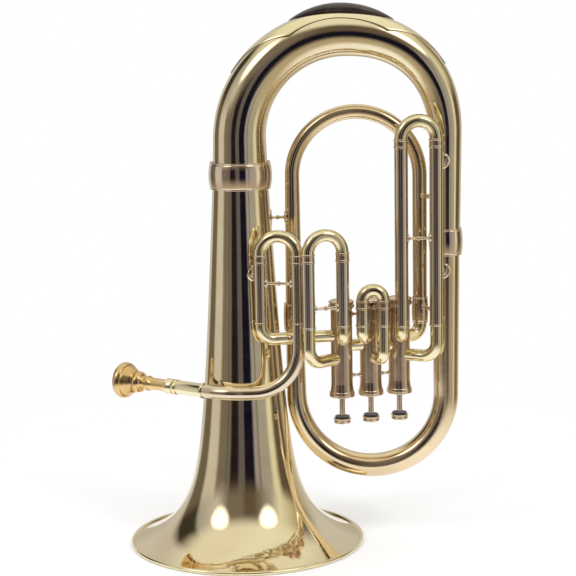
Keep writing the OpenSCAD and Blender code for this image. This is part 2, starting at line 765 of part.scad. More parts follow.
bell();
bell_rim_wire();
bell_ferrule();
top_bow();
bow_guard();
bow_bumper();
outer_ferrule();
outer_branch();
lower_ferrule();
inner_branch();
exit_ferrule();
exit_elbow();
leadpipe();
mouthpiece_receiver();
mouthpiece();
inlet_elbow();
knuckle_tubes();
valve_casing(1);  // valve_casing_1
valve_casing(2);  // valve_casing_2
valve_casing(3);  // valve_casing_3
stem_cap(1);  // stem_cap_1
stem_cap(2);  // stem_cap_2
stem_cap(3);  // stem_cap_3
spring_cap(1);  // spring_cap_1
spring_cap(2);  // spring_cap_2
spring_cap(3);  // spring_cap_3
piston(1);  // piston_1
piston(2);  // piston_2
piston(3);  // piston_3
valve_stem(1);  // valve_stem_1
valve_stem(2);  // valve_stem_2
valve_stem(3);  // valve_stem_3
finger_button(1);  // finger_button_1
finger_button(2);  // finger_button_2
finger_button(3);  // finger_button_3
button_felt(1);  // button_felt_1
button_felt(2);  // button_felt_2
button_felt(3);  // button_felt_3
valve_spring(1);  // valve_spring_1
valve_spring(2);  // valve_spring_2
valve_spring(3);  // valve_spring_3
stop_felts();
slide_crook(0);  // tuning_crook
slide_legs(0);  // tuning_legs
slide_sleeves(0);  // tuning_sleeves
slide_crook(1);  // slide_1_crook
slide_legs(1);  // slide_1_legs
slide_sleeves(1);  // slide_1_sleeves
slide_elbows(1);  // slide_1_elbows
slide_crook(2);  // slide_2_crook
slide_legs(2);  // slide_2_legs
slide_sleeves(2);  // slide_2_sleeves
slide_elbows(2);  // slide_2_elbows
slide_crook(3);  // slide_3_crook
slide_legs(3);  // slide_3_legs
slide_sleeves(3);  // slide_3_sleeves
slide_elbows(3);  // slide_3_elbows
valve_braces();
slide_braces();
body_braces();
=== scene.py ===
"""Looks of a baritone horn that stands on its bell: polished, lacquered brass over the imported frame."""
import json
import math

import bpy
from mathutils import Matrix, Vector


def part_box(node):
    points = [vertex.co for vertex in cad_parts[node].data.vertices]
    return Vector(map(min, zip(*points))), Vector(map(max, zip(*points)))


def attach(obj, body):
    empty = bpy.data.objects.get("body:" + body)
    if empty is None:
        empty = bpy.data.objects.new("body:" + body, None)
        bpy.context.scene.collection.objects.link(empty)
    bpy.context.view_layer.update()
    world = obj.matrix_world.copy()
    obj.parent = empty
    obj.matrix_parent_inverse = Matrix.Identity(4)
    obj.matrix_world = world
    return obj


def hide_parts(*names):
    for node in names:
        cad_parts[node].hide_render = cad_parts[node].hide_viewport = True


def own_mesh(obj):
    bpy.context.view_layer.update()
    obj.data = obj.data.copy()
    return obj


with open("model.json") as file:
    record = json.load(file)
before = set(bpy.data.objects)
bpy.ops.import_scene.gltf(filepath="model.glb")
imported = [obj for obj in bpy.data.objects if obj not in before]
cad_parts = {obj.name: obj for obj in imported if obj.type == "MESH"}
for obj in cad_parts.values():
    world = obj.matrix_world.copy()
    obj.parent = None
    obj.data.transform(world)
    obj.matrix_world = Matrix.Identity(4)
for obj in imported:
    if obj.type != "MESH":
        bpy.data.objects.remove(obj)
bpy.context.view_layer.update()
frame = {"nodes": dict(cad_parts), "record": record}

MM = 0.001
NODES = frame["nodes"]
SLOT_OF = {s["node"]: s["material_slot"] for s in frame["record"]["subparts"]}
JOINTS = {j["name"]: j for j in frame["record"]["behaviour"]["joints"]}


# ---------------------------------------------------------------- places, read from the frame

def middle_of(node):
    low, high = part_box(node)
    return (low + high) / 2


def two_solids(node):
    """Middles, in plan, of the left and the right solid of a node that holds two."""
    low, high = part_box(node)
    split = (low.x + high.x) / 2
    middles = []
    for is_left in (True, False):
        points = [v.co for v in NODES[node].data.vertices if (v.co.x < split) == is_left]
        xs = [p.x for p in points]
        ys = [p.y for p in points]
        middles.append(Vector(((min(xs) + max(xs)) / 2, (min(ys) + max(ys)) / 2, 0)))
    return middles


def on_axis(node, direction):
    """Start and length of a round node that lies along a level direction."""
    side = Vector((-direction.y, direction.x, 0))
    points = [v.co for v in NODES[node].data.vertices]
    lengthwise = [p.dot(direction) for p in points]
    sideways = [p.dot(side) for p in points]
    middle = (min(sideways) + max(sideways)) / 2
    height = (min(p.z for p in points) + max(p.z for p in points)) / 2
    start = direction * min(lengthwise) + side * middle + Vector((0, 0, height))
    return start, max(lengthwise) - min(lengthwise)


OUTER_LEG_X = middle_of("outer_ferrule").x
OUTER_JOINT_Z = middle_of("outer_ferrule").z
INNER_LEG = middle_of("lower_ferrule")
EXIT_LEG = middle_of("exit_ferrule")
BELL_LOW, BELL_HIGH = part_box("bell")
BELL_TOP_Z = BELL_HIGH.z
MOUTH_AXIS = Vector(JOINTS["mouthpiece_pull"]["axis"]).normalized()

# Sizes of the CAD part that its boxes don't show
TOP_BEND_Z = 431 * MM
LOW_BEND_Z = 158 * MM
LOW_BOW_R = 79.5 * MM
ARCH_Z = 391 * MM
SHEET = 0.6 * MM
BELL_TOP_R = 28.7 * MM
TAPER = 20.2 * MM
FLARE_POWER = -2.974
FLARE_SHIFT = 80 * MM
CASING_R = 11.25 * MM
TUNING_SLEEVE_R = 6.6 * MM
FIRST_SLEEVE_R = 6.7 * MM
THIRD_SLEEVE_R = 7 * MM


def bell_radius(z):
    """Outer radius of the bell at a height: a straight taper with a power flare."""
    def flare(height):
        return (height + FLARE_SHIFT) ** FLARE_POWER
    share = (flare(z) - flare(BELL_TOP_Z)) / (flare(BELL_LOW.z) - flare(BELL_TOP_Z))
    straight = BELL_TOP_R + TAPER * (BELL_TOP_Z - z) / (BELL_TOP_Z - BELL_LOW.z)
    return straight + (BELL_HIGH.x - BELL_TOP_R - TAPER) * share


# ---------------------------------------------------------------- mesh builders

def mesh_object(name, verts, faces, smooth_angle=40):
    mesh = bpy.data.meshes.new(name)
    mesh.from_pydata([tuple(v) for v in verts], [], faces)
    mesh.validate()
    mesh.update()
    mesh.shade_smooth()
    mesh.set_sharp_from_angle(angle=math.radians(smooth_angle))
    obj = bpy.data.objects.new(name, mesh)
    bpy.context.scene.collection.objects.link(obj)
    return obj


def ring_faces(first, second, n, flip=False):
    """Quads between two rings of n points that start at those indices."""
    faces = []
    for k in range(n):
        after = (k + 1) % n
        quad = (first + k, first + after, second + after, second + k)
        faces.append(tuple(reversed(quad)) if flip else quad)
    return faces


def tube(name, points, radii, wall=SHEET, around=64):
    """Hollow tube along points, with a radius at each. The rings turn as little as they can.
    With no wall it is a solid wire."""
    points = [Vector(p) for p in points]
    count = len(points)
    tangents = []
    for i in range(count):
        ahead = points[min(i + 1, count - 1)]
        behind = points[max(i - 1, 0)]
        tangents.append((ahead - behind).normalized())
    side = Vector((0, 1, 0))
    if abs(tangents[0].dot(side)) > 0.9:
        side = Vector((1, 0, 0))
    outer, inner = [], []
    for point, tangent, radius in zip(points, tangents, radii):
        side = (side - tangent * side.dot(tangent)).normalized()
        other = tangent.cross(side)
        for k in range(around):
            a = math.tau * k / around
            out = side * math.cos(a) + other * math.sin(a)
            outer.append(point + out * radius)
            if wall:
                inner.append(point + out * (radius - wall))
    off = count * around
    if not wall:
        faces = [tuple(reversed(range(around))), tuple(range(off - around, off))]
        for i in range(count - 1):
            faces += ring_faces(i * around, (i + 1) * around, around)
        return mesh_object(name, outer, faces)
    faces = []
    for i in range(count - 1):
        faces += ring_faces(i * around, (i + 1) * around, around)
        faces += ring_faces(off + i * around, off + (i + 1) * around, around, flip=True)
    faces += ring_faces(0, off, around, flip=True)
    faces += ring_faces((count - 1) * around, off + (count - 1) * around, around)
    return mesh_object(name, outer + inner, faces)


def lathe(name, profile, place=None, around=96, smooth_angle=40, knurl=None):
    """Solid of revolution about Z from a closed outline of (radius, height) points, which runs
    up its outer side. A knurl (low, high, depth) notches every second column between two heights."""
    verts, rows = [], []
    for r, z in profile:
        rows.append((len(verts), 1 if r < 1e-7 else around))
        if r < 1e-7:
            verts.append(Vector((0, 0, z)))
            continue
        for k in range(around):
            notch = knurl[2] if knurl and k % 2 and knurl[0] <= z <= knurl[1] else 0
            a = math.tau * k / around
            verts.append(Vector(((r - notch) * math.cos(a), (r - notch) * math.sin(a), z)))
    faces = []
    for i, (start, n) in enumerate(rows):
        after, m = rows[(i + 1) % len(rows)]
        if n == 1 and m == 1:
            continue
        for k in range(around):
            nxt = (k + 1) % around
            if n == 1:
                faces.append((start, after + nxt, after + k))
            elif m == 1:
                faces.append((start + k, start + nxt, after))
            else:
                faces.append((start + k, start + nxt, after + nxt, after + k))
    if place is not None:
        verts = [place @ v for v in verts]
    return mesh_object(name, verts, faces, smooth_angle)


def curve(*points, steps=6):
    """Smooth run of (radius, height) points through the given ones, in millimetres."""
    out = []
    last = len(points) - 1
    for i in range(last):
        p0, p1, p2, p3 = (points[max(i - 1, 0)], points[i], points[i + 1], points[min(i + 2, last)])
        for k in range(steps):
            t = k / steps
            out.append(tuple(0.5 * (2 * b + (c - a) * t + (2 * a - 5 * b + 4 * c - d) * t ** 2
                                    + (3 * b - a - 3 * c + d) * t ** 3)
                             for a, b, c, d in zip(p0, p1, p2, p3)))
    return out + [points[last]]


def bead(radius, low, high, rise, steps=8):
    """Half-round bead that stands out from a radius between two heights."""
    middle, half = (low + high) / 2, (high - low) / 2
    angles = [math.pi * (k / steps - 0.5) for k in range(steps + 1)]
    return [(radius + rise * math.cos(a), middle + half * math.sin(a)) for a in angles]


def in_metres(profile):
    return [(r * MM, z * MM) for r, z in profile]


def standing(node):
    """Place of a round upright node's foot, and the node's height in millimetres."""
    low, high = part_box(node)
    foot = Matrix.Translation(((low.x + high.x) / 2, (low.y + high.y) / 2, low.z))
    return foot, (high.z - low.z) / MM


def along(start, direction):
    """Place of a turned piece whose Z axis starts at a point and runs in a direction."""
    return Matrix.Translation(start) @ direction.to_track_quat("Z", "Y").to_matrix().to_4x4()


def patch(name, low, high, n, m):
    """Closed skin between a lower and an upper grid of n by m points."""
    off = n * m
    faces = []
    for i in range(n - 1):
        for j in range(m - 1):
            a = i * m + j
            faces.append((a, a + m, a + m + 1, a + 1))
            faces.append((off + a, off + a + 1, off + a + m + 1, off + a + m))
    for i in range(n - 1):
        a = i * m
        faces.append((a, off + a, off + a + m, a + m))
        a = i * m + m - 1
        faces.append((a, a + m, off + a + m, off + a))
    for j in range(m - 1):
        faces.append((j, j + 1, off + j + 1, off + j))
        a = (n - 1) * m + j
        faces.append((a, off + a, off + a + 1, a + 1))
    return mesh_object(name, low + high, faces)


def finish_piece(obj, material, body, slot, *replaced):
    """Gives a piece its material, and tells the frame what it rides and which nodes it replaces."""
    obj.data.materials.clear()
    obj.data.materials.append(material)
    if replaced:
        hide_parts(*replaced)
    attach(obj, body)
    return obj


# ---------------------------------------------------------------- materials

def new_material(name):
    material = bpy.data.materials.new(name)
    material.use_nodes = True
    tree = material.node_tree
    shader = tree.nodes["Principled BSDF"]
    coords = tree.nodes.new("ShaderNodeTexCoord")
    return material, tree, shader, coords


def noise(tree, coords, scale, detail, stretch=(1, 1, 1), roughness=0.55):
    mapping = tree.nodes.new("ShaderNodeMapping")
    mapping.inputs["Scale"].default_value = stretch
    tree.links.new(coords.outputs["Object"], mapping.inputs["Vector"])
    texture = tree.nodes.new("ShaderNodeTexNoise")
    texture.inputs["Scale"].default_value = scale
    texture.inputs["Detail"].default_value = detail
    texture.inputs["Roughness"].default_value = roughness
    tree.links.new(mapping.outputs["Vector"], texture.inputs["Vector"])
    return texture


def ramp(tree, source, stops):
    """Colour ramp over a value from (place, colour) pairs."""
    node = tree.nodes.new("ShaderNodeValToRGB")
    elements = node.color_ramp.elements
    while len(elements) < len(stops):
        elements.new(0.5)
    for element, (place, colour) in zip(elements, stops):
        element.position = place
        element.color = (*colour, 1.0)
    tree.links.new(source, node.inputs["Fac"])
    return node


def spread(tree, source, low, high):
    """The middle of a noise value's run, stretched out between two values."""
    node = tree.nodes.new("ShaderNodeMapRange")
    node.inputs["From Min"].default_value = 0.3
    node.inputs["From Max"].default_value = 0.7
    node.inputs["To Min"].default_value = low
    node.inputs["To Max"].default_value = high
    tree.links.new(source, node.inputs["Value"])
    return node


def eased(tree, source, low, high, first=0, last=1):
    """Soft change from a first to a last value while the source goes from low to high."""
    node = tree.nodes.new("ShaderNodeMapRange")
    node.interpolation_type = "SMOOTHSTEP"
    node.inputs["From Min"].default_value = low
    node.inputs["From Max"].default_value = high
    node.inputs["To Min"].default_value = first
    node.inputs["To Max"].default_value = last
    tree.links.new(source, node.inputs["Value"])
    return node


def bump(tree, source, strength, distance, normal=None):
    node = tree.nodes.new("ShaderNodeBump")
    node.inputs["Strength"].default_value = strength
    node.inputs["Distance"].default_value = distance
    tree.links.new(source, node.inputs["Height"])
    if normal is not None:
        tree.links.new(normal, node.inputs["Normal"])
    return node


def polished_brass(name, light, dark, smooth=0.03, rough=0.09, lacquer=0.3):
    """Buffed and lacquered brass: cloudy tone, faint buffing lines, handling haze in the gloss."""
    material, tree, shader, coords = new_material(name)
    cloud = noise(tree, coords, 18, 5)
    tone = ramp(tree, cloud.outputs["Fac"], [(0.34, dark), (0.62, light)])
    haze = noise(tree, coords, 75, 6)
    buffing = noise(tree, coords, 240, 3, stretch=(1, 1, 0.06))
    waves = noise(tree, coords, 38, 2)
    gloss = spread(tree, haze.outputs["Fac"], smooth, rough)
    ripple = bump(tree, waves.outputs["Fac"], 0.10, 0.0012)
    lines = bump(tree, buffing.outputs["Fac"], 0.025, 0.0002, ripple.outputs["Normal"])
    tree.links.new(tone.outputs["Color"], shader.inputs["Base Color"])
    tree.links.new(gloss.outputs["Result"], shader.inputs["Roughness"])
    tree.links.new(lines.outputs["Normal"], shader.inputs["Normal"])
    shader.inputs["Metallic"].default_value = 1.0
    shader.inputs["Coat Weight"].default_value = lacquer
    shader.inputs["Coat Roughness"].default_value = 0.04
    return material


def ground_metal(name, light, dark):
    """Machined metal with fine turning marks."""
    material, tree, shader, coords = new_material(name)
    marks = noise(tree, coords, 320, 3, stretch=(0.2, 0.2, 1))
    tone = ramp(tree, marks.outputs["Fac"], [(0.35, dark), (0.65, light)])
    gloss = spread(tree, marks.outputs["Fac"], 0.2, 0.34)
    fine = bump(tree, marks.outputs["Fac"], 0.06, 0.0002)
    tree.links.new(tone.outputs["Color"], shader.inputs["Base Color"])
    tree.links.new(gloss.outputs["Result"], shader.inputs["Roughness"])
    tree.links.new(fine.outputs["Normal"], shader.inputs["Normal"])
    shader.inputs["Metallic"].default_value = 1.0
    return material


def felt(name):
    """Pressed black felt: tangled fibres and a soft sheen."""
    material, tree, shader, coords = new_material(name)
    fibres = noise(tree, coords, 2200, 8, roughness=0.7)
    tone = ramp(tree, fibres.outputs["Fac"], [(0.3, (0.004, 0.004, 0.006)), (0.75, (0.035, 0.033, 0.04))])
    nap = bump(tree, fibres.outputs["Fac"], 0.6, 0.0004)
    tree.links.new(tone.outputs["Color"], shader.inputs["Base Color"])
    tree.links.new(nap.outputs["Normal"], shader.inputs["Normal"])
    shader.inputs["Roughness"].default_value = 0.95
    shader.inputs["Sheen Weight"].default_value = 0.3
    return material


def dark_gloss(name):
    """Dark brown moulded bumper with scuffs in its polish."""
    material, tree, shader, coords = new_material(name)
    cloud = noise(tree, coords, 60, 5)
    tone = ramp(tree, cloud.outputs["Fac"], [(0.35, (0.012, 0.008, 0.008)), (0.7, (0.05, 0.032, 0.026))])
    scuffs = noise(tree, coords, 260, 6, stretch=(0.3, 1, 1))
    gloss = spread(tree, scuffs.outputs["Fac"], 0.12, 0.32)
    grain = bump(tree, scuffs.outputs["Fac"], 0.08, 0.0003)
    tree.links.new(tone.outputs["Color"], shader.inputs["Base Color"])
    tree.links.new(gloss.outputs["Result"], shader.inputs["Roughness"])
    tree.links.new(grain.outputs["Normal"], shader.inputs["Normal"])
    shader.inputs["Coat Weight"].default_value = 0.5
    shader.inputs["Coat Roughness"].default_value = 0.08
    return material


MATERIALS = {
    "lacquered_brass": polished_brass("lacquered_brass", (0.85, 0.75, 0.52), (0.79, 0.67, 0.45)),
    "pale_brass": polished_brass("pale_brass", (0.90, 0.81, 0.55), (0.85, 0.74, 0.47), 0.03, 0.10),
    "red_brass": polished_brass("red_brass", (0.80, 0.65, 0.49), (0.68, 0.53, 0.39), 0.08, 0.18),
    "mouthpiece_gold": polished_brass("mouthpiece_gold", (0.84, 0.60, 0.30), (0.70, 0.46, 0.20),
                                      0.13, 0.24, 0.1),
    "piston_metal": ground_metal("piston_metal", (0.72, 0.70, 0.66), (0.58, 0.56, 0.53)),
    "spring_steel": ground_metal("spring_steel", (0.66, 0.66, 0.68), (0.5, 0.5, 0.52)),
    "felt": felt("felt"),
    "bumper": dark_gloss("bumper"),
}
# The long branches are a warmer brass than the bell; sleeves and casings are less highly buffed
GOLDEN_BRASS = polished_brass("golden_brass", (0.86, 0.71, 0.47), (0.78, 0.62, 0.40), 0.07, 0.16)
FOOT_BRASS = polished_brass("foot_brass", (0.90, 0.80, 0.63), (0.82, 0.70, 0.54), 0.08, 0.16)
CASING_BRASS = polished_brass("casing_brass", (0.74, 0.58, 0.42), (0.62, 0.47, 0.34), 0.18, 0.28, 0.2)
SLEEVE_BRASS = polished_brass("sleeve_brass", (0.80, 0.69, 0.52), (0.72, 0.60, 0.44), 0.07, 0.15)
SILVERY_BRASS = polished_brass("silvery_brass", (0.78, 0.70, 0.60), (0.70, 0.62, 0.53), 0.07, 0.15)
BAND_BRASS = polished_brass("band_brass", (0.86, 0.73, 0.57), (0.78, 0.64, 0.50), 0.04, 0.10)
OTHER_FINISH = {f"valve_casing_{i}": CASING_BRASS for i in (1, 2, 3)}
OTHER_FINISH.update({name: SLEEVE_BRASS for name in NODES if name.endswith("_sleeves")})
OTHER_FINISH["leadpipe"] = SLEEVE_BRASS
OTHER_FINISH["slide_1_sleeves"] = SILVERY_BRASS


def dress_frame():
    """Every CAD node gets the material of its slot, or its own finish of the same metal."""
    for name, obj in NODES.items():
        material = OTHER_FINISH.get(name, MATERIALS[SLOT_OF[name]])
        obj.data.materials.clear()
        obj.data.materials.append(material)


# ---------------------------------------------------------------- large bows

BOW_STEPS = 120
BOW_BELL_END_R = 27.6 * MM
BOW_LEG_END_R = 16.6 * MM
BOW_FULLNESS = 0.9 * MM
BOW_BULGE = 4 * MM


def top_bow_radius(t):
    """Radius along the bend, from the bell side at 0 to the outer leg at 1."""
    return BOW_BELL_END_R + (BOW_LEG_END_R - BOW_BELL_END_R) * t + BOW_FULLNESS * math.sin(math.pi * t)


def top_bow_station(angle):
    """Middle and radius of the top bow at an angle about its bend, in degrees. The bend bulges
    outwards a little on the side of the outer leg."""
    a = math.radians(angle)
    bulge = BOW_BULGE * math.sin(2 * a) ** 2 if angle < 90 else 0
    reach = OUTER_LEG_X / 2 + bulge
    middle = Vector((OUTER_LEG_X / 2 + reach * math.cos(a), 0, TOP_BEND_Z + reach * math.sin(a)))
    return middle, top_bow_radius((180 - angle) / 180)


def leg(first, last, steps):
    """Stations along a straight taper from the first one up to just before the last one."""
    (p, r), (q, s) = first, last
    return [(p.lerp(q, k / steps), r + (s - r) * k / steps) for k in range(steps)]


def with_legs(start, bend, end, first_steps, last_steps):
    """Points and radii of a bend with a straight leg at each end. The start, the end and each
    station of the bend are pairs of a point and a radius."""
    return zip(*leg(start, bend[0], first_steps), *bend, *leg(bend[-1], end, last_steps)[1:], end)


def top_bow():
    """Large tapering bend from the bell's end to the ferrule on the outer leg."""
    start = (Vector((0, 0, BELL_TOP_Z)), BELL_TOP_R)
    end = (Vector((OUTER_LEG_X, 0, OUTER_JOINT_Z)), 15 * MM)
    bend = [top_bow_station(180 - 180 * i / BOW_STEPS) for i in range(BOW_STEPS + 1)]
    points, radii = with_legs(start, bend, end, first_steps=8, last_steps=24)
    bow = tube("top_bow_tube", points, radii, around=96)
    finish_piece(bow, MATERIALS["lacquered_brass"], "horn", "lacquered_brass", "top_bow")


def over_bow(angle, turn, lift):
    """Point on a skin over the top bow, at an angle along it and one round it."""
    middle, radius = top_bow_station(angle)
    a = math.radians(angle)
    b = math.radians(turn)
    out = Vector((math.cos(a), 0, math.sin(a)))
    return middle + (out * math.cos(b) + Vector((0, -1, 0)) * math.sin(b)) * (radius + lift)


# Angles along the bow, in degrees, of the guard's middle, of each half and from middle to cusp
GUARD_MID = 92
GUARD_HALF = 57
GUARD_CUSP = 25
# Angles that it reaches round the bow, in its middle, at the cusps and at its tips
LOBE_TURN = 46
CUSP_TURN = 64
TIP_TURN = 1.5


def guard_turn(angle):
    """How far the guard reaches round the bow: a lobe between two cusps, and narrowing wings."""
    d = abs(angle - GUARD_MID)
    if d < GUARD_CUSP:
        return LOBE_TURN + (CUSP_TURN - LOBE_TURN) * (d / GUARD_CUSP) ** 2
    narrowing = max(0, (GUARD_HALF - d) / (GUARD_HALF - GUARD_CUSP)) ** 1.4
    return TIP_TURN + (CUSP_TURN - TIP_TURN) * narrowing


def bow_guard():
    """Thin plate that follows the top bow, rounded off along its two edges."""
    n, m = 171, 33
    under, rim, rise = 0.1 * MM, 0.35 * MM, 0.6 * MM
    flat_share = 0.94
    low, high = [], []
    for i in range(n):
        angle = GUARD_MID + GUARD_HALF - 2 * GUARD_HALF * i / (n - 1)
        reach = guard_turn(angle)
        for j in range(m):
            across = 2 * j / (m - 1) - 1
            edge = 1 - max(0, abs(across) - flat_share) / (1 - flat_share)
            low.append(over_bow(angle, reach * across, under))
            high.append(over_bow(angle, reach * across, rim + rise * math.sqrt(max(edge, 0))))
    guard = patch("bow_guard_plate", low, high, n, m)
    finish_piece(guard, MATERIALS["pale_brass"], "horn", "pale_brass", "bow_guard")


def bow_bumper():
    """Lens-shaped pad on top of the guard. Its angles are in degrees, along the bow and round it."""
    n, m = 81, 33
    mid, half, widest, tip_share = 90, 24, 22, 0.12
    under, rim, rise = 1.2 * MM, 1.75 * MM, 7 * MM
    low, high = [], []
    for i in range(n):
        place = 2 * i / (n - 1) - 1
        angle = mid - half * place
        lens = 1 - place ** 2
        reach = widest * (tip_share + (1 - tip_share) * lens)
        for j in range(m):
            across = 2 * j / (m - 1) - 1
            dome = lens * math.sqrt(max(0, 1 - across ** 2))
            low.append(over_bow(angle, reach * across, under))
            high.append(over_bow(angle, reach * across, rim + rise * dome))
    pad = patch("bow_bumper_pad", low, high, n, m)
    finish_piece(pad, MATERIALS["bumper"], "horn", "bumper", "bow_bumper")


def outer_branch():
    """Outer leg, lower bow and inner leg as one tapering tube. The inner leg leans by a millimetre."""
    bow_x = OUTER_LEG_X - LOW_BOW_R
    wide, narrow = 13 * MM, 10.4 * MM
    bend = []
    for i in range(BOW_STEPS + 1):
        t = i / BOW_STEPS
        x = bow_x + LOW_BOW_R * math.cos(math.pi * t)
        y = INNER_LEG.y * (OUTER_LEG_X - x) / (2 * LOW_BOW_R)
        z = LOW_BEND_Z - LOW_BOW_R * math.sin(math.pi * t)
        bend.append((Vector((x, y, z)), wide - (wide - narrow) * t ** 2))
    start = (Vector((OUTER_LEG_X, 0, OUTER_JOINT_Z)), 14.6 * MM)
    end = (Vector((bow_x - LOW_BOW_R - 1 * MM, INNER_LEG.y, INNER_LEG.z)), 9.2 * MM)
    points, radii = with_legs(start, bend, end, first_steps=24, last_steps=16)
    branch = tube("outer_branch_tube", points, radii, around=80)
    finish_piece(branch, GOLDEN_BRASS, "horn", "lacquered_brass", "outer_branch")


def inner_branch():
    """Upper part of the inner leg, the arch and the leg that comes down to the third valve."""
    left = Vector((INNER_LEG.x, INNER_LEG.y, 0))
    right = Vector((EXIT_LEG.x, EXIT_LEG.y, 0))
    half = (right - left).length / 2
    across = (right - left).normalized()
    middle = (left + right) / 2
    bend = []
    for i in range(BOW_STEPS + 1):
        a = math.pi - math.pi * i / BOW_STEPS
        point = middle + across * (half * math.cos(a)) + Vector((0, 0, ARCH_Z + half * math.sin(a)))
        bend.append((point, 7.6 * MM))
    start = (left + Vector((0, 0, INNER_LEG.z)), 8.9 * MM)
    end = (right + Vector((0, 0, EXIT_LEG.z)), 7.4 * MM)
    points, radii = with_legs(start, bend, end, first_steps=20, last_steps=20)
    branch = tube("inner_branch_tube", points, radii)
    finish_piece(branch, GOLDEN_BRASS, "horn", "lacquered_brass", "inner_branch")


# ---------------------------------------------------------------- bell and joint rings

def bell():
    """Wall of the bell, with its rows closer together towards the flare's edge."""
    rows = 160
    heights = [BELL_LOW.z + (BELL_TOP_Z - BELL_LOW.z) * (k / rows) ** 1.7 for k in range(rows + 1)]
    outer = [(bell_radius(z), z) for z in heights]
    inner = [(r - SHEET, z) for r, z in reversed(outer)]
    horn = lathe("bell_wall", outer + inner, around=192)
    finish_piece(horn, MATERIALS["lacquered_brass"], "horn", "lacquered_brass", "bell")


def rim_wire():
    """Rolled rim, with the flat that it stands on."""
    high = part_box("bell_rim_wire")[1]
    wire_r = 2.2 * MM
    middle_r, middle_z = high.x - wire_r, high.z - wire_r
    flat = math.asin(middle_z / wire_r)
    count = 28
    section = []
    for k in range(count + 1):
        a = -flat + (math.pi + 2 * flat) * k / count
        section.append((middle_r + wire_r * math.cos(a), middle_z + wire_r * math.sin(a)))
    wire = lathe("rim_wire", section, around=192)
    finish_piece(wire, MATERIALS["pale_brass"], "horn", "pale_brass", "bell_rim_wire")


def ferrule(node, inner_low, inner_high):
    """Joint ring, in millimetres: a fine bead at each end and a full band between two grooves."""
    place, height = standing(node)
    low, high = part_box(node)
    widest = (high.x - low.x) / 2 / MM
    band_share, lip, rise, groove = 0.42, 1.5, 0.3, 0.15
    end = widest - (widest - max(inner_low, inner_high)) * band_share
    band_low, band_high = lip + 0.3, height - lip - 0.3
    profile = [(inner_low, 0)] + bead(end - rise, 0, lip, rise) + [(end - groove, lip + 0.1)]
    steps = 20
    for k in range(steps + 1):
        t = k / steps
        r = end + (widest - end) * math.sin(math.pi * t) ** 0.8
        profile.append((r, band_low + (band_high - band_low) * t))
    profile += [(end - groove, height - lip - 0.1)] + bead(end - rise, height - lip, height, rise)
    profile.append((inner_high, height))
    ring = lathe(node + "_ring", in_metres(profile), place)
    finish_piece(ring, BAND_BRASS, "horn", "pale_brass", node)


def ferrules():
    """The four joint rings, each with the radii of the tubes that it holds, in millimetres."""
    bell_fit = bell_radius(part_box("bell_ferrule")[0].z) / MM + 0.3
    ferrule("bell_ferrule", bell_fit, BELL_TOP_R / MM + 0.1)
    ferrule("outer_ferrule", 14.8, 15.4)
    ferrule("lower_ferrule", 9.85, 9.05)
    ferrule("exit_ferrule", 7.55, 7.55)


# ---------------------------------------------------------------- mouthpiece and its receiver

def mouthpiece():
    """Shank, bead, neck, bulb and cup, with a rounded rim and a true cup and bore."""
    start, length = on_axis("mouthpiece", MOUTH_AXIS)
    top = length / MM
    cup_r, throat_r, backbore_r, cup_depth, rim_depth = 12.7, 3.4, 4.9, 16, 3
    cup_steps = 14
    outside = [(5.6, 0), (6.1, 20), (6.5, 38), (6.7, 43)] + bead(6.9, 43.3, 46.9, 1.3)
    outside += curve((6.6, 47.3), (6, 49), (6, 50.4), (7, 52), (9.4, 53.8), (10.8, 55.8), (11.3, 58),
                     (11, 60))
    outside += curve((10.9, 60.1), (10.2, 61), (9.9, 61.8))
    outside += curve((10.6, 62), (12.4, 64.2), (13.6, 66.4), (14.8, 68.6), (15.8, 70.8), (16.3, 72.4))
    outside += curve((17.3, 72.7), (18.2, 73.8), (18.9, 75.4), (19.2, 77.4), (18.9, 79.6), (17.6, 81.2),
                     (15.6, top))
    lip = curve((15.6, top), (14.2, top - 0.4), (13.2, top - 1.3), (cup_r, top - rim_depth))
    cup = [(throat_r + (cup_r - throat_r) * math.cos(a), top - rim_depth - cup_depth * math.sin(a))
           for a in (math.pi / 2 * k / cup_steps for k in range(1, cup_steps + 1))]
    bore = [(throat_r, 54), (backbore_r, 0)]
    profile = outside + lip[1:] + cup + bore
    piece = lathe("mouthpiece_body", in_metres(profile), along(start, MOUTH_AXIS), smooth_angle=50)
    finish_piece(piece, MATERIALS["mouthpiece_gold"], "mouthpiece", "mouthpiece_gold", "mouthpiece")


def receiver():
    """Tube that holds the mouthpiece: a collar at its foot and a grooved band at its mouth."""
    start, length = on_axis("mouthpiece_receiver", MOUTH_AXIS)
    top = length / MM
    profile = [(6.4, 0), (8, 0)] + bead(7.8, 0.2, 2.4, 0.6) + [(7.4, 2.7), (7.2, 3.2), (7.2, 33.2)]
    profile += [(6.8, 33.4), (6.8, 34.6), (7.8, 34.8), (8, 35.2), (8, 38), (7.8, 38.4), (6.9, 38.6)]
    profile += [(6.9, 40.2), (7.8, 40.4), (8.05, 40.9), (8.05, top - 1.6)]
    profile += curve((8.25, top - 1.4), (8.2, top - 0.6), (7.8, top))
    profile += [(7.4, top), (6.16, top), (5.66, top - 20), (5, top - 22), (5, 6)]
    piece = lathe("receiver_tube", in_metres(profile), along(start, MOUTH_AXIS))
    finish_piece(piece, MATERIALS["pale_brass"], "horn", "pale_brass", "mouthpiece_receiver")


# ---------------------------------------------------------------- valves

CAP_COLUMNS = 144
KNURL_DEPTH = 0.25 * MM


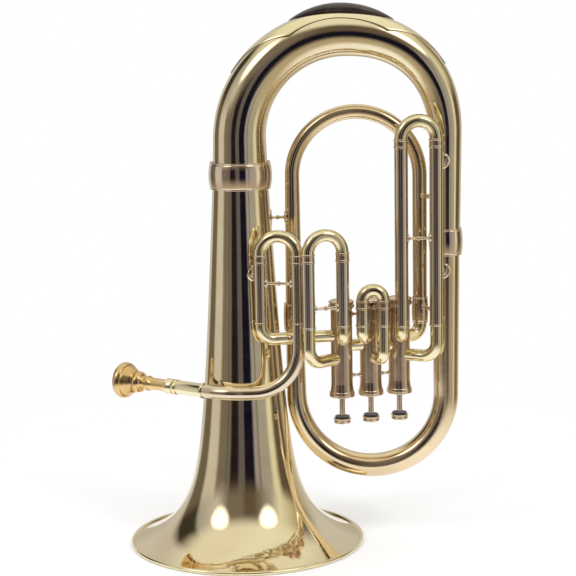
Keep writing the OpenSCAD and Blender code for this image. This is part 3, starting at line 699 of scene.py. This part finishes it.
def stem_cap(i):
    """Cap at the finger end: a knurled ring over a thin plate, with a nose round the stem."""
    node = f"stem_cap_{i}"
    place, top = standing(node)
    profile = [(2.98, 0), (4.6, 0)] + curve((4.8, 0.1), (5.6, 1), (7.4, 1.6), (9.8, 1.9), (12, 2.5))
    profile += bead(12.8, 2.9, 5.1, 0.6) + [(12.5, 5.4), (12.5, 5.9), (13.1, 6.1), (13.2, 6.4), (13.2, 7.3)]
    profile += [(13, 7.7)] + curve((12.7, 7.9), (12.3, 8.6), (12.15, top))
    profile += [(11.3, top), (11.3, 5.65), (2.98, 5.65)]
    cap = lathe(f"{node}_shell", in_metres(profile), place,
                around=CAP_COLUMNS, knurl=(6.3 * MM, 7.4 * MM, KNURL_DEPTH))
    finish_piece(cap, MATERIALS["red_brass"], "horn", "red_brass", node)


def spring_cap(i):
    """Cap at the spring end: a knurled ring, a plain one and a domed top with a small button."""
    node = f"spring_cap_{i}"
    place, top = standing(node)
    profile = [(11.3, 0), (12.9, 0), (13.5, 0.6), (13.6, 1), (13.6, 2.2), (13.4, 2.6), (12.7, 3.1)]
    profile += [(12.6, 4.3), (13.1, 4.9), (13.3, 5.2), (13.3, 6.2)]
    profile += curve((13, 6.5), (11, 7.4), (7, 8.2), (4, 8.5), (3.4, 8.7))
    profile += curve((3.3, 9), (3, 9.9), (1.8, 10.5), (0, top)) + [(0, 4.95), (11.3, 4.95)]
    cap = lathe(f"{node}_shell", in_metres(profile), place,
                around=CAP_COLUMNS, knurl=(0.9 * MM, 2.3 * MM, KNURL_DEPTH))
    finish_piece(cap, MATERIALS["red_brass"], "horn", "red_brass", node)


def finger_button(i):
    """Button with a dished face, a waist and a flange that carries the felt."""
    node = f"finger_button_{i}"
    place, top = standing(node)
    profile = curve((0, 0.9), (3.4, 0.85), (6.2, 0.7), (7.2, 0.15))
    profile += curve((7.4, 0), (8.4, 0.25), (8.9, 1.1), (8.6, 2), (8, 2.6), (8.1, 3.1), (8.9, 3.6))
    profile += curve((9.1, 3.8), (9.2, 4.3), (9.15, 4.9), (8.6, top)) + [(2.95, top), (2.95, 4), (0, 4)]
    button = lathe(f"{node}_cap", in_metres(profile), place)
    finish_piece(button, MATERIALS["red_brass"], f"valve_{i}", "red_brass", node)


SPRING_TURNS = 7
SPRING_WIRE_R = 0.5 * MM


def valve_spring(i):
    """Coil spring with closed ends, which the piston squeezes towards the spring cap."""
    node = f"valve_spring_{i}"
    low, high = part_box(node)
    middle = middle_of(node)
    coil_r = (high.x - low.x) / 2 - SPRING_WIRE_R
    bottom, top = low.z + SPRING_WIRE_R, high.z - SPRING_WIRE_R
    closed_pitch = 2 * SPRING_WIRE_R
    open_pitch = (top - bottom - 2 * closed_pitch) / (SPRING_TURNS - 2)
    per_turn = 40
    points = []
    for k in range(SPRING_TURNS * per_turn + 1):
        turns = k / per_turn
        open_turns = min(max(turns - 1, 0), SPRING_TURNS - 2)
        z = bottom + open_pitch * open_turns + closed_pitch * (turns - open_turns)
        a = math.tau * turns
        points.append((middle.x + coil_r * math.cos(a), middle.y + coil_r * math.sin(a), z))
    wire = tube(f"{node}_coil", points, [SPRING_WIRE_R] * len(points), wall=None, around=12)
    finish_piece(wire, MATERIALS["spring_steel"], "horn", "spring_steel", node)
    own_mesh(wire)


# ---------------------------------------------------------------- braces

# Heights of a brace foot over its tube, in millimetres: its underside, and the top of its middle
FOOT_UNDER = 0.05
FOOT_TOP = 1.18


def foot_lift(share):
    """Height of a foot's outer face over its tube, in millimetres, from its middle at 0 to its edge
    at 1: a domed middle, a step and a raised edge."""
    dome = 0.5 * max(0, 0.35 - share)
    step = 0.5 / (1 + math.exp((share - 0.55) * 40))
    edge = 0.6 * math.exp(-((share - 0.86) / 0.07) ** 2)
    return 0.5 + dome + step + edge


def flange(name, axis, toward, tube_r, z, half, lobes=0.0):
    """Round brace foot that follows an upright tube, on the side toward a point.
    With lobes above 0 its outline is drawn in between four points."""
    turn = math.atan2(toward.y - axis.y, toward.x - axis.x)
    rows, around = 14, 48
    off = rows * around + 1

    def over_tube(across, up, lift):
        r = tube_r + lift * MM
        b = turn + across / tube_r
        return Vector((axis.x + r * math.cos(b), axis.y + r * math.sin(b), z + up))

    verts = []
    for outer in (False, True):
        verts.append(over_tube(0, 0, FOOT_TOP if outer else FOOT_UNDER))
        for i in range(1, rows + 1):
            share = i / rows
            lift = foot_lift(share) if outer else FOOT_UNDER
            for k in range(around):
                a = math.tau * k / around
                reach = half * share * (1 - lobes * abs(math.sin(2 * a)) ** 0.8)
                verts.append(over_tube(reach * math.cos(a), reach * math.sin(a), lift))
    faces = []
    for k in range(around):
        after = (k + 1) % around
        faces.append((0, 1 + after, 1 + k))
        faces.append((off, off + 1 + k, off + 1 + after))
    for i in range(rows - 1):
        faces += ring_faces(1 + (i + 1) * around, 1 + i * around, around, flip=True)
        faces += ring_faces(off + 1 + (i + 1) * around, off + 1 + i * around, around)
    edge = 1 + (rows - 1) * around
    faces += ring_faces(edge, off + edge, around)
    return mesh_object(name, verts, faces, 60)


def rod(name, start, end, thin=1.5, foot=2.6):
    """Turned rod: a spread foot at each end and a pair of rings with a ball between them."""
    span = end - start
    length = span.length / MM
    middle = length / 2
    cone = min(2.5, length / 4)
    waist = max(0.0, middle - 2.2)
    profile = [(0, 0)] + curve((foot, 0), (thin + 0.5, cone * 0.35), (thin, cone))
    if waist > cone:
        profile += [(thin, waist)]
        profile += bead(thin, middle - 2, middle - 1.2, 0.5) + bead(thin, middle - 1, middle + 1, 1.2)
        profile += bead(thin, middle + 1.2, middle + 2, 0.5) + [(thin, length - waist)]
    profile += curve((thin, length - cone), (thin + 0.5, length - cone * 0.35), (foot, length))
    profile.append((0, length))
    return lathe(name, in_metres(profile), along(start, span.normalized()), around=32)


def brace(node, k, a, radius_a, b, radius_b, z, half_a=4.5, half_b=4.5):
    """Brace between two upright tubes: a foot on each and a turned rod between the feet."""
    toward = (b - a).normalized()
    feet = [flange(f"{node}_{k}_foot_a", a, b, radius_a, z, half_a * MM),
            flange(f"{node}_{k}_foot_b", b, a, radius_b, z, half_b * MM)]
    sunk = 0.6 * MM
    height = Vector((0, 0, z))
    start = a + toward * (radius_a + sunk) + height
    end = b - toward * (radius_b + sunk) + height
    for foot in feet:
        finish_piece(foot, FOOT_BRASS, "horn", "red_brass", node)
    finish_piece(rod(f"{node}_{k}_rod", start, end), SLEEVE_BRASS, "horn", "red_brass", node)


def braces():
    """Braces between slide legs, between casings, and from the bell and outer leg to inner tubes."""
    tuning, first, third = (two_solids(f"{name}_sleeves") for name in ("tuning", "slide_1", "slide_3"))
    slides = ((tuning, TUNING_SLEEVE_R, 286), (first, FIRST_SLEEVE_R, 261), (third, THIRD_SLEEVE_R, 329))
    for k, (legs, r, z) in enumerate(slides):
        brace("slide_braces", k, legs[0], r, legs[1], r, z * MM)
    valves = [middle_of(f"valve_casing_{i}") * Vector((1, 1, 0)) for i in (1, 2, 3)]
    for k in range(2):
        for z in (184, 249):
            brace("valve_braces", f"{k}_{z}", valves[k], CASING_R, valves[k + 1], CASING_R, z * MM, 3, 3)
    bell_axis = Vector((0, 0, 0))
    outer = Vector((OUTER_LEG_X, 0, 0))
    inner_left = Vector((INNER_LEG.x, INNER_LEG.y, 0))
    inner_right = Vector((EXIT_LEG.x, EXIT_LEG.y, 0))
    # One tube and its radius, the other tube and its radius, the height, and half sizes of the feet
    body = (
        (bell_axis, bell_radius(348 * MM), inner_left, 8.2 * MM, 348, 9, 6),
        (bell_axis, bell_radius(295 * MM), tuning[0], TUNING_SLEEVE_R, 295, 9, 5),
        (outer, 16.4 * MM, third[1], THIRD_SLEEVE_R, 407, 9, 5),
        (outer, 14.5 * MM, third[1], THIRD_SLEEVE_R, 292, 9, 5),
        (inner_right, 8.8 * MM, third[1], THIRD_SLEEVE_R, 252, 3, 3),
        (inner_right, 7.6 * MM, third[1], THIRD_SLEEVE_R, 370, 2.8, 4),
    )
    for k, (a, ra, b, rb, z, half_a, half_b) in enumerate(body):
        brace("body_braces", k, a, ra, b, rb, z * MM, half_a, half_b)


def leadpipe_brace():
    """Four-pointed foot on the bell, with a short post that carries the leadpipe."""
    pipe = on_axis("mouthpiece_receiver", MOUTH_AXIS)[0]
    side = Vector((MOUTH_AXIS.y, -MOUTH_AXIS.x, 0))
    reach = pipe.dot(side)
    toward = side if reach > 0 else -side
    z = pipe.z
    foot = flange("leadpipe_brace_foot", Vector((0, 0, 0)), toward, bell_radius(z), z, 9 * MM, lobes=0.38)
    height = Vector((0, 0, z))
    post_start = toward * (bell_radius(z) + 0.4 * MM) + height
    post_end = toward * (abs(reach) - 7.1 * MM) + height
    post = rod("leadpipe_brace_post", post_start, post_end, thin=2.0, foot=2.4)
    for piece in (foot, post):
        finish_piece(piece, MATERIALS["red_brass"], "horn", "red_brass", "body_braces")


# ---------------------------------------------------------------- floor, light and camera

FLOOR_R = 1.1
FLOOR_MIDDLE = Vector((0.05, 0, -0.2 * MM))


def floor():
    """Pale floor that fades out round the horn, into the pale surroundings."""
    verts = [FLOOR_MIDDLE]
    rings, around = 24, 96
    for i in range(1, rings + 1):
        for k in range(around):
            a = math.tau * k / around
            r = FLOOR_R * i / rings
            verts.append(FLOOR_MIDDLE + Vector((r * math.cos(a), r * math.sin(a), 0)))
    faces = [(0, 1 + k, 1 + (k + 1) % around) for k in range(around)]
    for i in range(rings - 1):
        faces += ring_faces(1 + (i + 1) * around, 1 + i * around, around)
    ground = mesh_object("floor", verts, faces)
    material, tree, shader, coords = new_material("floor")
    shader.inputs["Base Color"].default_value = (0.93, 0.93, 0.93, 1)
    shader.inputs["Roughness"].default_value = 0.9
    length = tree.nodes.new("ShaderNodeVectorMath")
    length.operation = "LENGTH"
    tree.links.new(coords.outputs["Object"], length.inputs[0])
    fade = eased(tree, length.outputs["Value"], 0.25, 0.75, first=1, last=0)
    tree.links.new(fade.outputs["Result"], shader.inputs["Alpha"])
    ground.data.materials.append(material)


# What the brass reflects, by direction in degrees: 0 is the camera's side and 90 the right
RIM_TONE = (0.44, 0.37, 0.25)
OLIVE = (0.17, 0.145, 0.11)
PALE = (0.66, 0.63, 0.60)
SHADE = (0.21, 0.18, 0.15)
PLUM = (0.020, 0.011, 0.016)
GREY = (0.14, 0.13, 0.14)
NAVY = (0.007, 0.006, 0.018)
SILVER = (0.37, 0.37, 0.41)
BEIGE = (0.42, 0.41, 0.39)
BRIGHT = (0.84, 0.82, 0.66)
WARM = (0.53, 0.46, 0.31)
UMBER = (0.13, 0.10, 0.075)
INKY = (0.05, 0.042, 0.03)
OVERHEAD = (0.92, 0.90, 0.77)
UNDERFOOT = (0.52, 0.45, 0.33)
# Colour of the softboxes' glow, its angles in degrees, their places, and the point they face
SOFTBOX = (2.2, 2.2, 2.15)
GLOW_EDGE, GLOW_FULL = 17, 5
SOFTBOX_LEFT = (-1.65, -1.2, 2.0)
SOFTBOX_RIGHT = (1.3, -1.25, 1.85)
LIT_SPOT = (0.05, 0, 0.3)
# Sines of the heights between which the tones underfoot, at the horn's level, above it and
# overhead turn into each other
UNDERFOOT_TO_LEVEL = (-0.52, -0.10)
LEVEL_TO_RAISED = (0.12, 0.36)
RAISED_TO_OVERHEAD = (0.60, 0.86)
# Tones at the horn's level and above it, by azimuth
LEVEL_BANDS = [
    (-180, RIM_TONE), (-150, PALE), (-140, PALE), (-132, OLIVE), (-106, OLIVE), (-98, PALE), (-74, PALE),
    (-66, SHADE), (-50, SHADE), (-45, GREY), (-39, SHADE), (-34, PLUM), (-19, PLUM), (-14, GREY), (-3, GREY),
    (-1, NAVY), (19, NAVY), (24, SILVER), (30, SILVER), (33, SHADE), (37, BEIGE), (58, BEIGE), (66, BRIGHT),
    (73, BRIGHT), (78, WARM), (84, UMBER), (112, UMBER), (122, WARM), (150, PALE), (180, RIM_TONE)]
RAISED_BANDS = [
    (-180, PALE), (-140, PALE), (-130, INKY), (-106, INKY), (-98, BEIGE), (-62, PALE), (-50, BEIGE),
    (-36, SHADE), (-10, SHADE), (0, UMBER), (16, UMBER), (28, SHADE), (52, BEIGE), (70, BRIGHT), (100, WARM),
    (116, OLIVE), (140, PALE), (180, PALE)]


def surroundings():
    """A pale studio. Seen straight it is plain; in the brass it shows panels and dark gaps."""
    world = bpy.data.worlds.new("studio")
    bpy.context.scene.world = world
    world.use_nodes = True
    tree = world.node_tree
    tree.nodes.clear()
    coords = tree.nodes.new("ShaderNodeTexCoord")
    split = tree.nodes.new("ShaderNodeSeparateXYZ")
    tree.links.new(coords.outputs["Generated"], split.inputs["Vector"])

    def maths(operation, a, b=None, value=None):
        node = tree.nodes.new("ShaderNodeMath")
        node.operation = operation
        tree.links.new(a, node.inputs[0])
        if b is not None:
            tree.links.new(b, node.inputs[1])
        if value is not None:
            node.inputs[1].default_value = value
        return node.outputs[0]

    back = maths("MULTIPLY", split.outputs["Y"], value=-1)
    azimuth = maths("ARCTAN2", split.outputs["X"], back)
    turn = maths("ADD", maths("DIVIDE", azimuth, value=math.tau), value=0.5)

    def circle(bands):
        """Ramp round the horn from (degrees, colour) pairs; 0 is the camera's side."""
        return ramp(tree, turn, [(0.5 + a / 360, c) for a, c in bands]).outputs["Color"]

    def eased_mix(source, low, high, base):
        """Colour mix that starts as the base at a low value of the source and leaves it at a high one."""
        node = tree.nodes.new("ShaderNodeMix")
        node.data_type = "RGBA"
        fade = eased(tree, source, low, high)
        tree.links.new(fade.outputs["Result"], node.inputs["Factor"])
        tree.links.new(base, node.inputs["A"])
        return node

    def blend(low, high, heights):
        """Mix of two colours by the height of the direction, between two of its sines."""
        node = eased_mix(split.outputs["Z"], *heights, low)
        tree.links.new(high, node.inputs["B"])
        return node.outputs["Result"]

    def glow(base, place):
        """The base with the soft round glow of a softbox on it."""
        near = tree.nodes.new("ShaderNodeVectorMath")
        near.operation = "DOT_PRODUCT"
        near.inputs[1].default_value = (Vector(place) - Vector(LIT_SPOT)).normalized()
        tree.links.new(coords.outputs["Generated"], near.inputs[0])
        edge, full = (math.cos(math.radians(angle)) for angle in (GLOW_EDGE, GLOW_FULL))
        node = eased_mix(near.outputs["Value"], edge, full, base)
        node.inputs["B"].default_value = (*SOFTBOX, 1)
        return node.outputs["Result"]

    level = circle(LEVEL_BANDS)
    raised = circle(RAISED_BANDS)
    overhead = circle([(-180, OVERHEAD), (180, OVERHEAD)])
    underfoot = circle([(-180, UNDERFOOT), (180, UNDERFOOT)])
    sides = blend(blend(underfoot, level, UNDERFOOT_TO_LEVEL), raised, LEVEL_TO_RAISED)
    around = blend(sides, overhead, RAISED_TO_OVERHEAD)
    reflected = glow(glow(around, SOFTBOX_LEFT), SOFTBOX_RIGHT)
    plain = tree.nodes.new("ShaderNodeBackground")
    plain.inputs["Color"].default_value = (1, 1, 1, 1)
    plain.inputs["Strength"].default_value = 1.0
    lit = tree.nodes.new("ShaderNodeBackground")
    tree.links.new(reflected, lit.inputs["Color"])
    lit.inputs["Strength"].default_value = 1.0
    path = tree.nodes.new("ShaderNodeLightPath")
    mixed = tree.nodes.new("ShaderNodeMixShader")
    tree.links.new(path.outputs["Is Glossy Ray"], mixed.inputs["Fac"])
    tree.links.new(plain.outputs["Background"], mixed.inputs[1])
    tree.links.new(lit.outputs["Background"], mixed.inputs[2])
    output = tree.nodes.new("ShaderNodeOutputWorld")
    tree.links.new(mixed.outputs["Shader"], output.inputs["Surface"])


def softbox(name, place):
    """Softbox that lights the floor and the felts; the brass shows it as a glow instead."""
    light = bpy.data.lights.new(name, "AREA")
    light.shape = "ELLIPSE"
    light.size, light.size_y = 0.6, 1.0
    light.energy = 12
    obj = bpy.data.objects.new(name, light)
    obj.location = place
    obj.rotation_euler = (Vector(LIT_SPOT) - Vector(place)).to_track_quat("-Z", "Y").to_euler()
    obj.visible_glossy = False
    bpy.context.scene.collection.objects.link(obj)


CAMERA_PLACE = (47.9 * MM, -1770.6 * MM, 563.2 * MM)
LENS = 106.25
PITCH_DOWN = 9.29
ROLL = -0.93


def camera():
    """The photograph's view: a long lens at the height of the horn's top, looking slightly down."""
    data = bpy.data.cameras.new("camera")
    data.sensor_width = 36
    data.lens = LENS
    obj = bpy.data.objects.new("camera", data)
    bpy.context.scene.collection.objects.link(obj)
    pitch, roll = math.radians(PITCH_DOWN), math.radians(ROLL)
    forward = Vector((0, math.cos(pitch), -math.sin(pitch)))
    level = Vector((1, 0, 0))
    up = level.cross(forward)
    right = level * math.cos(roll) + up * math.sin(roll)
    top = up * math.cos(roll) - level * math.sin(roll)
    turned = Matrix((right, top, -forward)).transposed().to_4x4()
    obj.matrix_world = Matrix.Translation(CAMERA_PLACE) @ turned
    bpy.context.scene.camera = obj


camera()
dress_frame()
top_bow()
bow_guard()
bow_bumper()
outer_branch()
inner_branch()
bell()
rim_wire()
ferrules()
mouthpiece()
receiver()
for valve in (1, 2, 3):
    stem_cap(valve)
    spring_cap(valve)
    finger_button(valve)
    valve_spring(valve)
braces()
leadpipe_brace()
floor()
surroundings()
softbox("softbox_left", SOFTBOX_LEFT)
softbox("softbox_right", SOFTBOX_RIGHT)
bpy.context.scene.view_settings.view_transform = "Standard"

bpy.context.view_layer.update()
